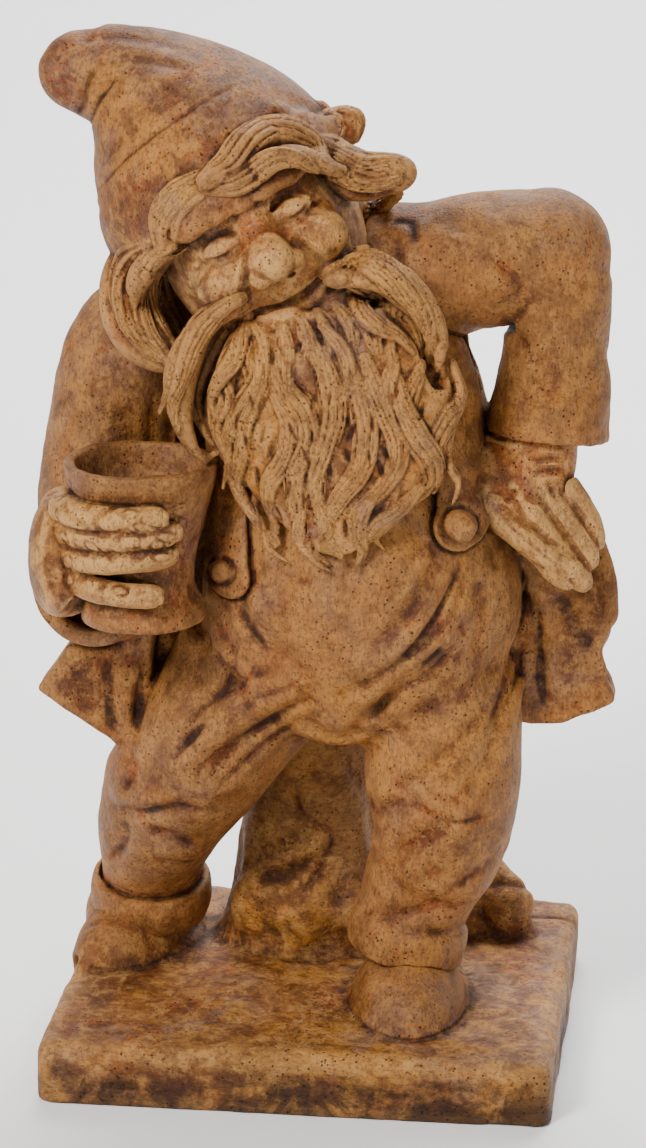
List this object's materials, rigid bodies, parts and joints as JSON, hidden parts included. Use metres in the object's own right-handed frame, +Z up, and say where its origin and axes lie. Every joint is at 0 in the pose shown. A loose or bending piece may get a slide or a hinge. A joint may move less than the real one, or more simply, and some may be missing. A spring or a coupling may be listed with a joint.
{
  "type": "garden gnome",
  "caption": "Bearded garden gnome in fired clay, in a drooping cap, bib trousers and open coat, holding a beaker and standing on a slab by a tree stump.",
  "frame": {"origin": "centre of the plinth's underside", "axes": "+Z up, -Y towards the gnome's front, +X towards the gnome's left"},
  "size_m": [0.4468, 0.342, 0.7873],
  "materials": {
    "cloth_terracotta": "unglazed fired clay with worn ochre patina",
    "skin_terracotta": "unglazed fired clay, rubbed smooth",
    "hair_terracotta": "unglazed fired clay, combed strands with dark hollows",
    "mug_terracotta": "unglazed fired clay, wiped smooth",
    "ground_terracotta": "unglazed fired clay, scraped and weathered"
  },
  "bodies": {
    "root": {"back_rock": "ground_terracotta", "beard": "hair_terracotta", "belly": "cloth_terracotta", "cap": "cloth_terracotta", "cap_band": "cloth_terracotta", "cap_tip": "cloth_terracotta", "chest": "cloth_terracotta", "coat_back": "cloth_terracotta", "coat_collar": "cloth_terracotta", "coat_left_skirt": "cloth_terracotta", "coat_right_skirt": "cloth_terracotta", "ear_curl": "hair_terracotta", "forelock": "hair_terracotta", "head": "skin_terracotta", "left_brace": "cloth_terracotta", "left_brace_button": "cloth_terracotta", "left_fingers": "skin_terracotta", "left_forearm_sleeve": "cloth_terracotta", "left_hand": "skin_terracotta", "left_moustache": "hair_terracotta", "left_shoe": "cloth_terracotta", "left_side_locks": "hair_terracotta", "left_thumb": "skin_terracotta", "left_trouser_leg": "cloth_terracotta", "left_turn_up": "cloth_terracotta", "left_upper_sleeve": "cloth_terracotta", "mug": "mug_terracotta", "nape_hair": "hair_terracotta", "plinth": "ground_terracotta", "right_brace": "cloth_terracotta", "right_brace_button": "cloth_terracotta", "right_fingers": "skin_terracotta", "right_forearm_sleeve": "cloth_terracotta", "right_hand": "skin_terracotta", "right_moustache": "hair_terracotta", "right_shoe": "cloth_terracotta", "right_side_locks": "hair_terracotta", "right_temple_lock": "hair_terracotta", "right_trouser_leg": "cloth_terracotta", "right_turn_up": "cloth_terracotta", "right_upper_sleeve": "cloth_terracotta", "tree_stump": "ground_terracotta"}
  },
  "joints": []
}
